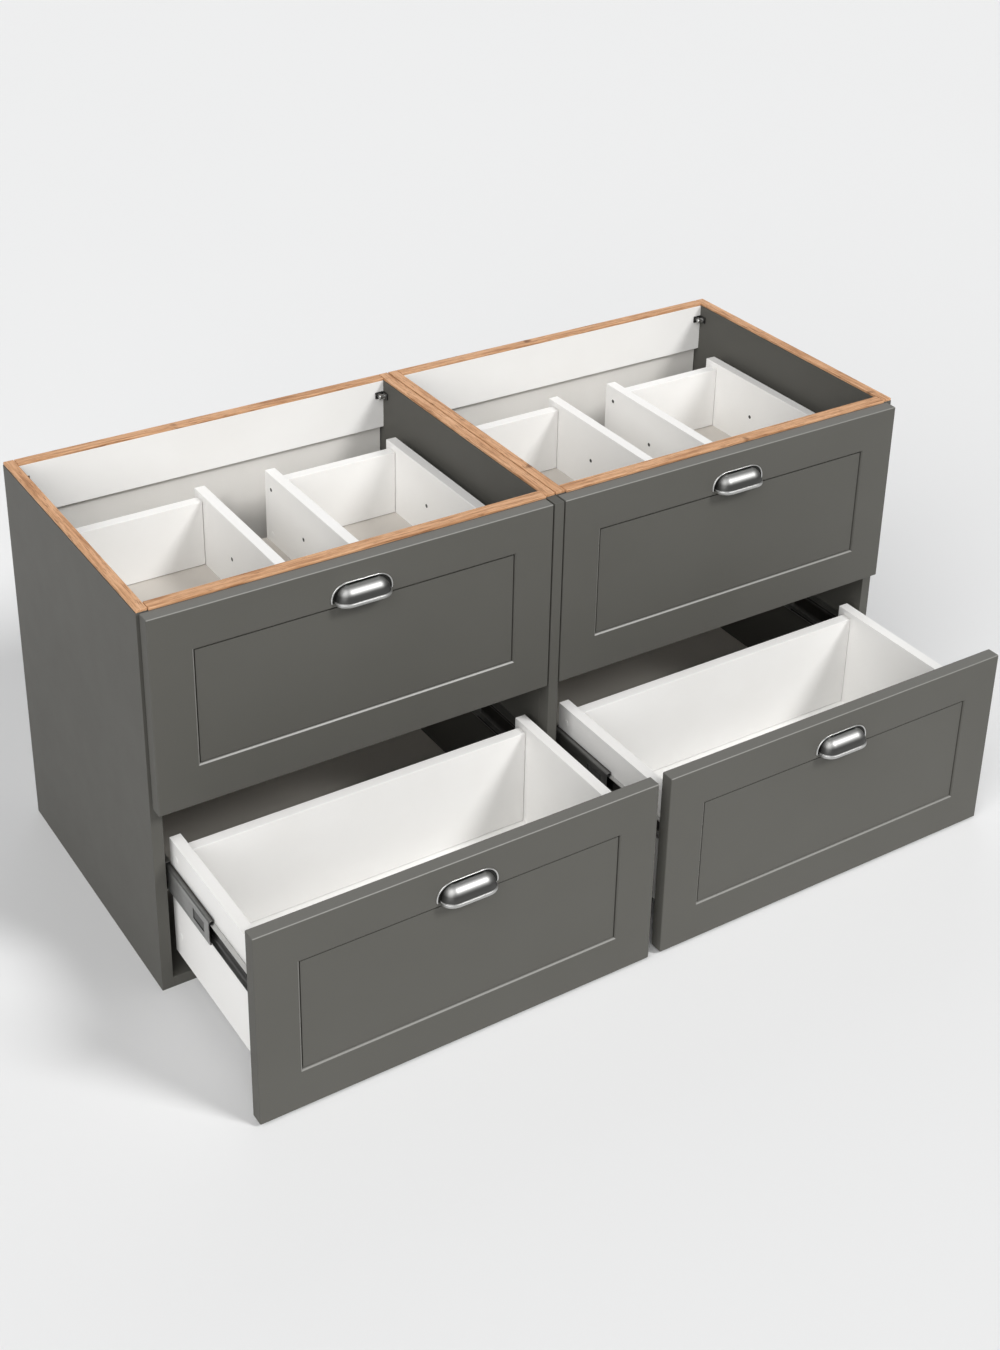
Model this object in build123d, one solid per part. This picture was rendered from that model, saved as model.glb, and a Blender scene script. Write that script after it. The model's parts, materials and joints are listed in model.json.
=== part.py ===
from build123d import *
import os

# Cabinet, in millimetres: two equal units side by side, X to the right, Y towards the wall, Z up.
# The origin is on the floor, on the seam between the units, half way back.
unit_width = 600.0
unit_depth = 455.0
unit_height = 580.0
unit_seam = 0.4
board = 16.0
back_board = 8.0
back_side_gap = 2.0
back_rail_height = 76.0
front_rail_height = 36.0
front_rail_proud = 2.0
strip_thickness = 4.0

# Drawer fronts with a framed field, and the strip that fills the joint between the units
front_thickness = 20.0
front_gap = 3.0
front_joint = 4.0
front_drop = 3.0
front_floor_gap = 5.0
left_reveal = 3.0
right_reveal = 12.0
filler_joint = 2.0
filler_reveal = 1.0
frame_width = 57.0
recess_depth = 3.5
recess_bevel = 1.5
edge_round = 1.0

# Drawer boxes: the upper ones are divided round the waste trap, the lower ones are plain
drawer_board = 16.0
upper_box_depth = 383.0
lower_box_depth = 278.0
upper_side_drop = 67.0
upper_side_rise = 85.0
lower_side_drop = 61.0
lower_side_rise = 41.0
box_back_drop = 9.0
box_back_inset = 12.0
box_floor = 10.0
box_floor_raise = 12.0
groove_depth = 6.0
trap_width = 94.0
trap_offset = 8.0
top_round = 1.0
peg_hole_radius = 2.5
peg_hole_depth = 10.0
peg_hole_drop = 58.0
peg_hole_from_rear = 118.0

# Telescopic slides: three nested channels with ball cages between them
slide_width = 13.0
slide_height = 45.0
slide_sheet = 1.2
slide_setback = 12.0
slide_drop = 57.0
upper_slide_length = 350.0
lower_slide_length = 260.0
lower_rest_opening = 260.0
middle_height = 37.0
middle_web = 4.0
inner_height = 29.0
inner_lip = 6.0
lip_margin = 1.5
cage_clearance = 0.3
cage_width = 5.0

# Cup pulls, fixed from behind with two screws
cup_width = 83.0
cup_height = 22.0
cup_reach = 18.0
cup_wall = 2.0
cup_lip_radius = 2.4
flange_width = 3.5
flange_thickness = 2.2
cup_below_front_top = 51.5
cup_screw_pitch = 64.0
boss_radius = 3.6
boss_hole_depth = 7.0

# Fasteners
dowel_radius = 4.0
dowel_in_side = 11.0
dowel_in_board = 21.0
end_room = 0.5
dowel_edge_margin = 60.0
rail_dowel_margin = 14.0
fit_clearance = 0.05
machine_screw_radius = 2.0
wood_screw_radius = 2.0
screw_bite = 10.0
pan_head_radius = 3.8
pan_head_height = 2.0
box_screw_head_radius = 4.0
box_screw_head_height = 3.0
box_screw_length = 40.0
box_screw_margin = 14.0
counterbore_depth = 3.2
slide_screw_margin = 40.0
front_bolt_radius = 3.0
front_bolt_in_front = 12.0
front_bolt_in_side = 24.0
front_bolt_margin = 24.0
unit_bolt_radius = 4.0
unit_bolt_head_radius = 7.0
unit_bolt_head_height = 2.0
unit_bolt_rise = 41.0
unit_bolt_margin = 70.0
bracket_leaf = 14.0
bracket_height = 10.0
bracket_sheet = 2.0
bracket_drop = 26.0

# Shared places
front_plane = -unit_depth / 2
back_plane = unit_depth / 2
board_top = unit_height - strip_thickness
inner_width = unit_width - 2 * board
box_width = inner_width - 2 * slide_width
face_plane = front_plane - front_gap - front_thickness
front_back_plane = front_plane - front_gap
front_height = (unit_height - front_drop - front_joint - front_floor_gap) / 2
upper_front_top = unit_height - front_drop
lower_front_top = upper_front_top - front_height - front_joint
unit_bolt_level = lower_front_top + unit_bolt_rise
unit_starts = {"left": -unit_width - unit_seam / 2, "right": unit_seam / 2}
unit_ends = {"left": -unit_seam / 2, "right": unit_width + unit_seam / 2}
front_starts = {"left": unit_starts["left"] + left_reveal, "right": unit_starts["right"] + filler_reveal}
filler_end = unit_ends["left"] - filler_reveal
filler_start = unit_ends["left"] - board
front_ends = {"left": filler_start - filler_joint, "right": unit_ends["right"] - right_reveal}


def block(x0, x1, y0, y1, z0, z1):
    """A square-edged board between two opposite corners; the ends of a span may come in either order."""
    centre = Pos((x0 + x1) / 2, (y0 + y1) / 2, (z0 + z1) / 2)
    return centre * Box(abs(x1 - x0), abs(y1 - y0), abs(z1 - z0))


def rod_x(x0, x1, y, z, radius):
    """A round rod along X."""
    return Pos((x0 + x1) / 2, y, z) * Rot(0, 90, 0) * Cylinder(radius, abs(x1 - x0))


def rod_y(x, y0, y1, z, radius):
    """A round rod along Y."""
    return Pos(x, (y0 + y1) / 2, z) * Rot(90, 0, 0) * Cylinder(radius, abs(y1 - y0))


def cut(body, cutters):
    """The body with every cutter taken out of it."""
    for cutter in cutters:
        body = body - cutter
    return body


def save(node, *pieces):
    """Write one node; several pieces stay separate solids in it."""
    solids = [solid for piece in pieces for solid in piece.solids()]
    export_step(solids[0] if len(solids) == 1 else Compound(solids), f"parts/{node}.step")


def round_top(body, radius):
    """Ease the long upper edges of a board."""
    top = body.faces().sort_by(Axis.Z)[-1]
    return fillet(top.edges(), radius)


class Screw:
    """A pan-head screw along X or Y: its head stands on the seat, its shank bites the other way."""

    def __init__(self, along, seat, out, first, second, length, radius, head_radius, head_height):
        self.place = (along, first, second)
        tip = seat - out * length
        top = seat + out * head_height
        self.body = self.rod(seat, top, head_radius) + self.rod(seat, tip, radius)
        self.hole = self.rod(top, tip - out * end_room, radius + fit_clearance)
        self.pocket = self.rod(seat, top + out * fit_clearance, head_radius + fit_clearance)

    def rod(self, start, end, radius):
        """A round rod on the screw's own line."""
        along, first, second = self.place
        if along == "x":
            return rod_x(start, end, first, second, radius)
        return rod_y(first, start, end, second, radius)


def channel(wall, out, web, lip, height, y0, y1, z):
    """A C-section rail: its web stands off the wall by web, and its two lips reach out to lip."""
    half = height / 2
    outer = block(wall + out * web, wall + out * lip, y0, y1, z - half, z + half)
    hollow = block(wall + out * (web + slide_sheet), wall + out * lip, y0, y1, z - half + slide_sheet,
                   z + half - slide_sheet)
    return outer - hollow


def cages(wall, out, reach, outer_height, inner_size, y0, y1, z):
    """Two ball cages, above and below, in the space between two nested channels."""
    high = outer_height / 2 - slide_sheet - cage_clearance
    low = inner_size / 2 + cage_clearance
    near = wall + out * (reach - cage_width)
    far = wall + out * reach
    return [block(near, far, y0, y1, z + sign * low, z + sign * high) for sign in (1, -1)]


class Slide:
    """One telescopic slide: cabinet channel, middle channel half way out, drawer channel as when closed."""

    def __init__(self, wall, out, z, length, opening):
        closed = front_plane + slide_setback
        middle = closed - opening / 2
        lip = slide_width - lip_margin
        drawer_face = wall + out * slide_width
        screw_spots = (slide_screw_margin, length - slide_screw_margin)
        outer = channel(wall, out, 0, lip, slide_height, closed, closed + length, z)
        shank = slide_sheet + screw_bite
        self.cabinet_screws = [
            Screw("x", wall + out * slide_sheet, out, closed + spot, z, shank, wood_screw_radius,
                  pan_head_radius, pan_head_height) for spot in screw_spots]
        self.outer = cut(outer, [screw.hole for screw in self.cabinet_screws])
        self.middle = channel(wall, out, middle_web, lip, middle_height, middle, middle + length, z)
        half_way = middle + length / 2
        rear_cages = cages(wall, out, lip, slide_height, middle_height, half_way, middle + length, z)
        fore_cages = cages(wall, out, lip, middle_height, inner_height, middle, half_way, z)
        self.cages = rear_cages + fore_cages
        inner_reach = slide_width - inner_lip
        inner_rail = channel(drawer_face, -out, 0, inner_reach, inner_height, closed, closed + length, z)
        self.drawer_screws = [
            Screw("x", drawer_face - out * slide_sheet, -out, closed + spot, z, shank, wood_screw_radius,
                  pan_head_radius, pan_head_height) for spot in screw_spots]
        self.inner = cut(inner_rail, [screw.hole for screw in self.drawer_screws])


def cup_profile(reach, height):
    """The quarter-ellipse section of the cup, in the plane X = 0, with the front face at Y = 0."""
    quarter = Ellipse(reach, height) & Pos(-reach / 2, height / 2) * Rectangle(reach, height)
    return Plane.YZ * quarter


def cup_sweep(section, straight):
    """Carry a section along the cup: straight in the middle, and a quarter turn about Z at each end."""
    middle = extrude(section, straight / 2, dir=(1, 0, 0), both=True)
    right = Pos(straight / 2, 0, 0) * revolve(section, Axis.Z, 90)
    left = Pos(-straight / 2, 0, 0) * revolve(section, Axis.Z, -90)
    return middle + right + left


def half_oval(straight, reach, height):
    """The cup's outline in the plane Y = 0: a straight top and a quarter ellipse at each end."""
    oval = Rectangle(straight, 2 * height)
    for sign in (1, -1):
        oval += Pos(sign * straight / 2, 0) * Ellipse(reach, height)
    span = straight + 2 * reach
    return Plane.XZ * (oval & Pos(0, height / 2) * Rectangle(span, height))


def cup_pull(x, z):
    """A cup pull, open below at height z: shell with a thick lip, rim on the front, and two screw bosses."""
    straight = cup_width - 2 * cup_reach
    ring = cup_profile(cup_reach, cup_height) - cup_profile(cup_reach - cup_wall, cup_height - cup_wall)
    bead = Plane.YZ * Pos(-cup_reach + cup_wall / 2, 0) * Circle(cup_lip_radius)
    shell = cup_sweep(ring + bead, straight)
    rim = half_oval(straight, cup_reach + flange_width, cup_height + flange_width)
    rim -= half_oval(straight, cup_reach - cup_wall, cup_height - cup_wall)
    shell += extrude(rim, flange_thickness, dir=(0, -1, 0))
    core = cup_sweep(cup_profile(cup_reach - cup_wall / 2, cup_height - cup_wall / 2), straight)
    boss_level = cup_height / 2
    for sign in (1, -1):
        boss = rod_y(sign * cup_screw_pitch / 2, -cup_reach, 0, boss_level, boss_radius)
        shell += boss & core
    for sign in (1, -1):
        hole_radius = machine_screw_radius + fit_clearance
        shell -= rod_y(sign * cup_screw_pitch / 2, -boss_hole_depth, 0, boss_level, hole_radius)
    return Pos(x, face_plane, z) * shell


def framed_front(x0, x1, z0, z1):
    """A drawer front: eased edges, and a field set back inside a frame with a bevelled inner edge."""
    body = fillet(block(x0, x1, face_plane, front_back_plane, z0, z1).edges(), edge_round)
    width = x1 - x0 - 2 * frame_width
    height = z1 - z0 - 2 * frame_width
    mouth = Rectangle(width, height)
    field = Rectangle(width - 2 * recess_bevel, height - 2 * recess_bevel)
    at_face = Plane((0, 0, 0), x_dir=(1, 0, 0), z_dir=(0, -1, 0))
    recess = loft([at_face.offset(-recess_depth) * field, at_face * mouth])
    return body - Pos((x0 + x1) / 2, face_plane, (z0 + z1) / 2) * recess


class Drawer:
    """One drawer, closed: front, cup pull, box, slides and screws, then moved out to its resting place."""

    def __init__(self, unit, level):
        upper = level == "upper"
        self.node = f"{unit}_{level}"
        self.opening = 0.0 if upper else lower_rest_opening
        self.front_top = upper_front_top if upper else lower_front_top
        self.side_top = self.front_top - (upper_side_drop if upper else lower_side_drop)
        front_bottom = self.front_top - front_height
        self.side_bottom = front_bottom + (upper_side_rise if upper else lower_side_rise)
        self.rear = front_back_plane + (upper_box_depth if upper else lower_box_depth)
        self.floor_bottom = self.side_bottom + box_floor_raise
        self.floor_top = self.floor_bottom + box_floor
        self.front_x = (front_starts[unit], front_ends[unit])
        self.left_x = unit_starts[unit] + board + slide_width
        self.right_x = self.left_x + box_width
        self.slide_length = upper_slide_length if upper else lower_slide_length
        self.slide_z = self.side_top - slide_drop
        self.screws = []
        walls = ((unit_starts[unit] + board, 1), (unit_ends[unit] - board, -1))
        travel = (self.slide_z, self.slide_length, self.opening)
        self.slides = [Slide(wall, out, *travel) for wall, out in walls]
        self.runner_screws = [screw for slide in self.slides for screw in slide.drawer_screws]
        self.divided = upper

    def moved(self, *bodies):
        """The bodies carried out of the cabinet to the drawer's resting place."""
        return [Pos(0, -self.opening, 0) * body for body in bodies]

    def make_boards(self):
        """Box boards: sides with floor grooves, partitions round the trap, backs and floor."""
        box = (front_back_plane, self.rear)
        side_z = (self.side_bottom, self.side_top)
        left_inner = self.left_x + drawer_board
        right_inner = self.right_x - drawer_board
        middle = (self.left_x + self.right_x) / 2 + trap_offset
        back_z = (self.floor_top, self.side_top - box_back_drop)
        back_y = (self.rear - box_back_inset - drawer_board, self.rear - box_back_inset)
        floor_x = (left_inner - groove_depth, right_inner + groove_depth)
        floor = block(*floor_x, *box, self.floor_bottom, self.floor_top)
        left = round_top(block(self.left_x, left_inner, *box, *side_z), top_round) - floor
        right = round_top(block(right_inner, self.right_x, *box, *side_z), top_round) - floor
        stations = [(left_inner, self.left_x, right_inner, self.right_x)]
        partitions = []
        if self.divided:
            gap = trap_width / 2
            stations = [(left_inner, self.left_x, middle - gap - drawer_board, middle - gap),
                        (middle + gap + drawer_board, middle + gap, right_inner, self.right_x)]
            part_z = (self.floor_top, self.side_top)
            partitions = [round_top(block(inner, outer, *box, *part_z), top_round)
                          for inner, outer in (stations[0][2:], stations[1][:2])]
        backs = [round_top(block(start, end, *back_y, *back_z), top_round) for start, _, end, _ in stations]
        self.add_back_screws(stations, back_y, back_z)
        self.add_front_bolts(left_inner, right_inner)
        self.boards = {"sides": [left, right], "partitions": partitions, "backs": backs, "floor": [floor]}
        if self.divided:
            self.drill_pegs(stations, right_inner)
        self.drill_boards()

    def add_back_screws(self, stations, back_y, back_z):
        """Screws through the sides and partitions into both ends of each back, heads let in flush."""
        y = (back_y[0] + back_y[1]) / 2
        shank = box_screw_length - box_screw_head_height
        sizes = (shank, wood_screw_radius, box_screw_head_radius, box_screw_head_height)
        for start, start_face, end, end_face in stations:
            for face, out in ((start_face, -1), (end_face, 1)):
                seat = face - out * box_screw_head_height
                for z in (back_z[0] + box_screw_margin, back_z[1] - box_screw_margin):
                    self.screws.append(Screw("x", seat, out, y, z, *sizes))

    def add_front_bolts(self, left_inner, right_inner):
        """Plain connecting bolts from the front into the end of each side."""
        self.bolts = []
        self.bolt_holes = []
        y0 = front_back_plane - front_bolt_in_front
        y1 = front_back_plane + front_bolt_in_side
        for x in ((self.left_x + left_inner) / 2, (self.right_x + right_inner) / 2):
            for z in (self.floor_top + front_bolt_margin, self.side_top - front_bolt_margin):
                self.bolts.append(rod_y(x, y0, y1, z, front_bolt_radius))
                self.bolt_holes.append(rod_y(x, y0 - end_room, y1 + end_room, z,
                                             front_bolt_radius + fit_clearance))

    def drill_pegs(self, stations, right_inner):
        """Blind peg holes on the left-hand faces of both partitions and of the right side."""
        y = self.rear - peg_hole_from_rear
        z = self.side_top - peg_hole_drop
        faces = (stations[0][2], stations[1][1], right_inner)
        pegs = [rod_x(face, face + peg_hole_depth, y, z, peg_hole_radius) for face in faces]
        for name in ("sides", "partitions"):
            self.boards[name] = [cut(body, pegs) for body in self.boards[name]]

    def drill_boards(self):
        """Take the screw and bolt holes out of the boards that they pass through."""
        holes = [screw.hole for screw in self.screws + self.runner_screws] + self.bolt_holes
        pockets = [screw.pocket for screw in self.screws]
        for name in ("sides", "partitions", "backs"):
            self.boards[name] = [cut(body, holes + pockets) for body in self.boards[name]]

    def make_front(self):
        """The front with its holes, the cup pull and the pull's two machine screws."""
        x0, x1 = self.front_x
        middle = (x0 + x1) / 2
        pull_z = self.front_top - cup_below_front_top
        screw_z = pull_z + cup_height / 2
        shank = front_thickness - counterbore_depth + boss_hole_depth - end_room
        seat = front_back_plane - counterbore_depth
        self.pull_screws = [
            Screw("y", seat, 1, middle + sign * cup_screw_pitch / 2, screw_z, shank, machine_screw_radius,
                  pan_head_radius, pan_head_height) for sign in (1, -1)]
        counterbores = [rod_y(middle + sign * cup_screw_pitch / 2, seat, front_back_plane, screw_z,
                              pan_head_radius + fit_clearance) for sign in (1, -1)]
        front = framed_front(x0, x1, self.front_top - front_height, self.front_top)
        self.front = cut(front, [screw.hole for screw in self.pull_screws] + counterbores + self.bolt_holes)
        self.pull = cup_pull(middle, pull_z)

    def write(self):
        """Save every node of the drawer."""
        self.make_boards()
        self.make_front()
        screws = [screw.body for screw in self.screws + self.runner_screws + self.pull_screws]
        save(f"{self.node}_front", *self.moved(self.front))
        save(f"{self.node}_handle", *self.moved(self.pull))
        save(f"{self.node}_screws", *self.moved(*screws, *self.bolts))
        for name, bodies in self.boards.items():
            if bodies:
                save(f"{self.node}_{name}", *self.moved(*bodies))
        save(f"{self.node}_slide_inner", *self.moved(*[slide.inner for slide in self.slides]))
        save(f"{self.node}_slide_middle", *[slide.middle for slide in self.slides])
        save(f"{self.node}_ball_cages", *[cage for slide in self.slides for cage in slide.cages])


class Carcass:
    """One cabinet unit: sides, bottom, back, two top rails, oak strips and the slides' cabinet channels."""

    def __init__(self, unit, drawers):
        self.unit = unit
        self.x0 = unit_starts[unit]
        self.x1 = unit_ends[unit]
        self.inner = (self.x0 + board, self.x1 - board)
        self.slides = [slide for drawer in drawers for slide in drawer.slides]
        self.slide_screws = [screw for slide in self.slides for screw in slide.cabinet_screws]
        self.make_dowels()
        self.make_brackets()

    def make_dowels(self):
        """Dowels at both ends of the bottom and the rails; in the back rail they keep below the bracket."""
        front_z = board_top - front_rail_height / 2
        high_z = unit_height - bracket_drop - bracket_height / 2 - rail_dowel_margin
        low_z = board_top - back_rail_height + rail_dowel_margin
        front_y = front_plane + board / 2
        back_y = back_plane - board / 2
        spots = [(front_plane + dowel_edge_margin, board / 2), (back_plane - dowel_edge_margin, board / 2),
                 (front_y, front_z), (back_y, high_z), (back_y, low_z)]
        self.dowels = []
        self.dowel_holes = []
        for joint, inward in ((self.inner[0], 1), (self.inner[1], -1)):
            start = joint - inward * dowel_in_side
            end = joint + inward * dowel_in_board
            for y, z in spots:
                self.dowels.append(rod_x(start, end, y, z, dowel_radius))
                self.dowel_holes.append(rod_x(start - inward * end_room, end + inward * end_room, y, z,
                                              dowel_radius + fit_clearance))

    def make_brackets(self):
        """A folded corner bracket at each end of the back rail, screwed to the rail and to the side."""
        z = unit_height - bracket_drop
        heights = (z - bracket_height / 2, z + bracket_height / 2)
        rail_face = back_plane - board
        self.brackets = []
        self.bracket_screws = []
        for wall, out in ((self.inner[0], 1), (self.inner[1], -1)):
            on_rail = block(wall, wall + out * bracket_leaf, rail_face - bracket_sheet, rail_face, *heights)
            on_side = block(wall, wall + out * bracket_sheet, rail_face - bracket_leaf, rail_face, *heights)
            middle = (bracket_leaf + bracket_sheet) / 2
            sizes = (bracket_sheet + screw_bite, wood_screw_radius, pan_head_radius, pan_head_height)
            screws = [Screw("y", rail_face - bracket_sheet, -1, wall + out * middle, z, *sizes),
                      Screw("x", wall + out * bracket_sheet, out, rail_face - middle, z, *sizes)]
            self.brackets.append(cut(on_rail + on_side, [screw.hole for screw in screws]))
            self.bracket_screws.extend(screws)

    def write(self, unit_bolt_holes):
        """Save every node of the unit."""
        depth = (front_plane, back_plane)
        rail_y = (back_plane - board, back_plane)
        front_rail_y = (front_plane - front_rail_proud, front_plane + board)
        rail_bottom = board_top - back_rail_height
        strip_z = (board_top, unit_height)
        holes = self.dowel_holes + unit_bolt_holes
        holes += [screw.hole for screw in self.slide_screws + self.bracket_screws]
        boards = {
            "side_left": block(self.x0, self.inner[0], *depth, 0, board_top),
            "side_right": block(self.inner[1], self.x1, *depth, 0, board_top),
            "bottom": block(*self.inner, front_plane, back_plane - back_board, 0, board),
            "back_rail": block(*self.inner, *rail_y, rail_bottom, board_top),
            "front_rail": block(*self.inner, *front_rail_y, board_top - front_rail_height, board_top)}
        for name, body in boards.items():
            save(f"{self.unit}_{name}", cut(body, holes))
        save(f"{self.unit}_back", block(self.inner[0] + back_side_gap, self.inner[1] - back_side_gap,
                                        back_plane - back_board, back_plane, 0, rail_bottom))
        save(f"{self.unit}_oak_strips", block(self.x0, self.inner[0], *depth, *strip_z),
             block(self.inner[1], self.x1, *depth, *strip_z), block(*self.inner, *rail_y, *strip_z),
             block(*self.inner, *front_rail_y, *strip_z))
        save(f"{self.unit}_slide_outer", *[slide.outer for slide in self.slides])


def unit_bolts():
    """Two sleeve bolts through the middle sides, with a flat head on each inner face, and their holes."""
    faces = (unit_ends["left"] - board, unit_starts["right"] + board)
    bolts = []
    holes = []
    for y in (front_plane + unit_bolt_margin, back_plane - unit_bolt_margin):
        bolt = rod_x(*faces, y, unit_bolt_level, unit_bolt_radius)
        for face, out in ((faces[0], -1), (faces[1], 1)):
            head_top = face + out * unit_bolt_head_height
            bolt += rod_x(face, head_top, y, unit_bolt_level, unit_bolt_head_radius)
        bolts.append(bolt)
        holes.append(rod_x(*faces, y, unit_bolt_level, unit_bolt_radius + fit_clearance))
    return bolts, holes


def filler_strip():
    """The narrow strip between the fronts, seated on the front edge of the left unit's right side."""
    strip = block(filler_start, filler_end, face_plane, front_plane, front_floor_gap, upper_front_top)
    face = strip.faces().sort_by(Axis.Y)[0]
    return fillet(face.edges(), edge_round)


os.makedirs("parts", exist_ok=True)
bolts, bolt_holes = unit_bolts()
carcasses = []
for unit in ("left", "right"):
    drawers = [Drawer(unit, level) for level in ("upper", "lower")]
    for drawer in drawers:
        drawer.write()
    carcass = Carcass(unit, drawers)
    carcass.write(bolt_holes)
    carcasses.append(carcass)
save("filler_strip", filler_strip())
save("unit_bolts", *bolts)
save("carcass_dowels", *[dowel for carcass in carcasses for dowel in carcass.dowels])
save("corner_brackets", *[bracket for carcass in carcasses for bracket in carcass.brackets])
carcass_screws = [screw for carcass in carcasses for screw in carcass.slide_screws + carcass.bracket_screws]
save("carcass_screws", *[screw.body for screw in carcass_screws])
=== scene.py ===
import json
import math

import bpy
import numpy as np
from mathutils import Matrix, Vector


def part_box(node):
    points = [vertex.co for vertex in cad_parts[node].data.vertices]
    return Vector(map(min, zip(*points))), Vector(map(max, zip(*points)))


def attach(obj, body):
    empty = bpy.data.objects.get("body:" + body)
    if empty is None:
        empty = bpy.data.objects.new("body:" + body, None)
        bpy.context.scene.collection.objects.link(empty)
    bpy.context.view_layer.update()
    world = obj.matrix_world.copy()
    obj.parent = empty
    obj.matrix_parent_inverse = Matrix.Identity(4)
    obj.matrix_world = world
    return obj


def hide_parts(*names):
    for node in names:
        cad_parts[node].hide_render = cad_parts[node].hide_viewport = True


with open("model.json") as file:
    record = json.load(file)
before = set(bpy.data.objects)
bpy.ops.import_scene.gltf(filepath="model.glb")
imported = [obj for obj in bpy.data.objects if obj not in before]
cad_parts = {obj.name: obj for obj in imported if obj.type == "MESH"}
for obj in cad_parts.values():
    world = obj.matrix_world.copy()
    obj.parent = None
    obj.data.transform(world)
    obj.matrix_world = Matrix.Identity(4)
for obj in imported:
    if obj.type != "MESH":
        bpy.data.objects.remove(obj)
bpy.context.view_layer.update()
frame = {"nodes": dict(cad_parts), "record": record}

# Camera: fitted to the corners of the units in a frame 1000 pixels wide and 1350 high; angles in radians
image_height = 1350
focal_px = 1960.6
optical_axis_row = 440
camera_place = Vector((-1.32724, -2.13322, 1.78631))
camera_turn = -0.57568
camera_tilt = -0.45318
camera_roll = -0.02103
sensor_mm = 36.0

# Light: 1.0 is the level at which a white surface that faces it renders white
key_from = Vector((0.42, -0.63, 0.66))
key_level = 0.60
key_angle = math.radians(15)
fill_from = Vector((-0.62, -0.50, 0.60))
fill_level = 0.75
fill_angle = math.radians(60)
rim_from = Vector((0.42, 0.76, 0.49))
rim_level = 0.10
rim_angle = math.radians(40)
rim_colour = (0.93, 0.97, 1.0)
sky_level = 0.17
sky_colour = (0.98, 0.99, 1.0)
floor_tone = 0.81
floor_drift = 0.005
floor_half = 30.0

# Fineness of the meshes
arc_steps = 4
turned_sides = 24
end_steps = 20
dome_steps = 26
band_steps = 30
least_corner = 0.1
sharp_angle = math.radians(35)

# Boards and fronts, in metres
edge_soft = 0.0005
joint_gap = 0.0009
oak_soft = 0.0008
strip_gap = 0.0007
seam_reach = 0.0005
side_thickness = 0.016
front_edge_round = 0.0015
frame_width = 0.057
recess_depth = 0.0020
chamfer_width = 0.0017
chamfer_depth = 0.0014
groove_width = 0.0019
groove_depth = 0.0040
edge_run = 0.0003
# How far the painted sheen on the fronts' top edges spreads round the outer edge, as a share
sheen_spread = 1.6

# Bottoms of the units: painted light, as the skin of the top face turns pale between two places along Y
face_skin = 0.0002
pale_from = -0.16
pale_full = 0.10

# Cup pulls, in metres
cup_wall = 0.002
cup_lip_round = 0.0024
cup_lip_half = 0.0025
cup_end = 0.0200
flange_width = 0.0035
flange_end = 0.0060
flange_low = 0.0008
flange_high = 0.0017
bead_width = 0.0014
boss_radius = 0.0028
boss_pitch = 0.064
boss_length = 0.0050

# Cup pulls: the power of the cup's superellipse, and how lip and rim thin out at its feet, in shares
cup_fullness = 2.3
foot_run = 0.35
lip_foot = 0.25
rim_foot = 0.85

# Cup pulls: angles in degrees, on the dome from 0 at the lip to 90 at the top, or round band and bead
dome_low = 8
dome_high = 86
band_start = 75
band_end = -255
# Painted shade: below shade_low a dark reflection band on the lower dome, above shade_high a dark line
# where the dome meets the rim
shade_low = 56
shade_low_run = 26
shade_high = 78
shade_high_run = 5
# Painted highlight: a thin bright line on the dome around this angle
highlight_line = 73
highlight_half = 6
bead_shade = 135

# Cup pulls: how dark the painted shade and how bright the lip's polish, in shares
dome_painted_shade = 0.86
inside_painted_shade = 0.8
lip_polish = 0.2

# Telescopic slides, in metres; windows and levers are measured from a middle channel's front end
sheet = 0.0012
bend_radius = 0.0022
middle_reach = 0.0075
inner_reach = 0.0070
window_half = 0.0080
release_window = (0.014, 0.047)
rivet_window = (0.130, 0.146)
lever_span = (0.010, 0.051)
lever_half = 0.010
lever_thickness = 0.0006
lever_soft = 0.0002
stop_length = 0.012
stop_soft = 0.0003

# Grease and painted shade on the ball side of the slides, in shares
web_grease_and_shade = 0.9
bend_grease_and_shade = 0.25

# Small fittings, in metres; cap_radii, cap_rises, barrel_radii and the peg-hole shades' crown and fit are
# shares
box_screw_margin = 0.014
cap_radius = 0.0045
cap_radii = (1, 1, 0.95, 0.7, 0.25)
cap_rise = 0.0006
cap_rises = (-0.8, 0, 0.5, 0.8, 1)
peg_hole_radius = 0.0025
peg_hole_drop = 0.058
peg_hole_from_rear = 0.118
# Dark discs in the peg holes stand in for the shade inside them
peg_shade_radius = 0.0029
peg_shade_rise = 0.0002
peg_shade_depth = 0.0080
shade_crown = 0.9
shade_fit = 0.98
barrel_offset = 0.0075
barrel_radius = 0.0036
barrel_radii = (0.85, 1, 1, 0.8, 1, 1, 0.85)
barrel_places = (0.0012, 0.0018, 0.0050, 0.0054, 0.0060, 0.0110, 0.0116)

units = ("left", "right")
levels = ("upper", "lower")
slot_of = {row["node"]: row["material_slot"] for row in frame["record"]["subparts"]}

# Across, up and out of a panel, for the axis that it is thin along
panel_ways = {
    "x": ((0, 1, 0), (0, 0, 1), (1, 0, 0)),
    "y": ((1, 0, 0), (0, 0, 1), (0, -1, 0)),
    "z": ((1, 0, 0), (0, 1, 0), (0, 0, 1)),
}


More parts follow.
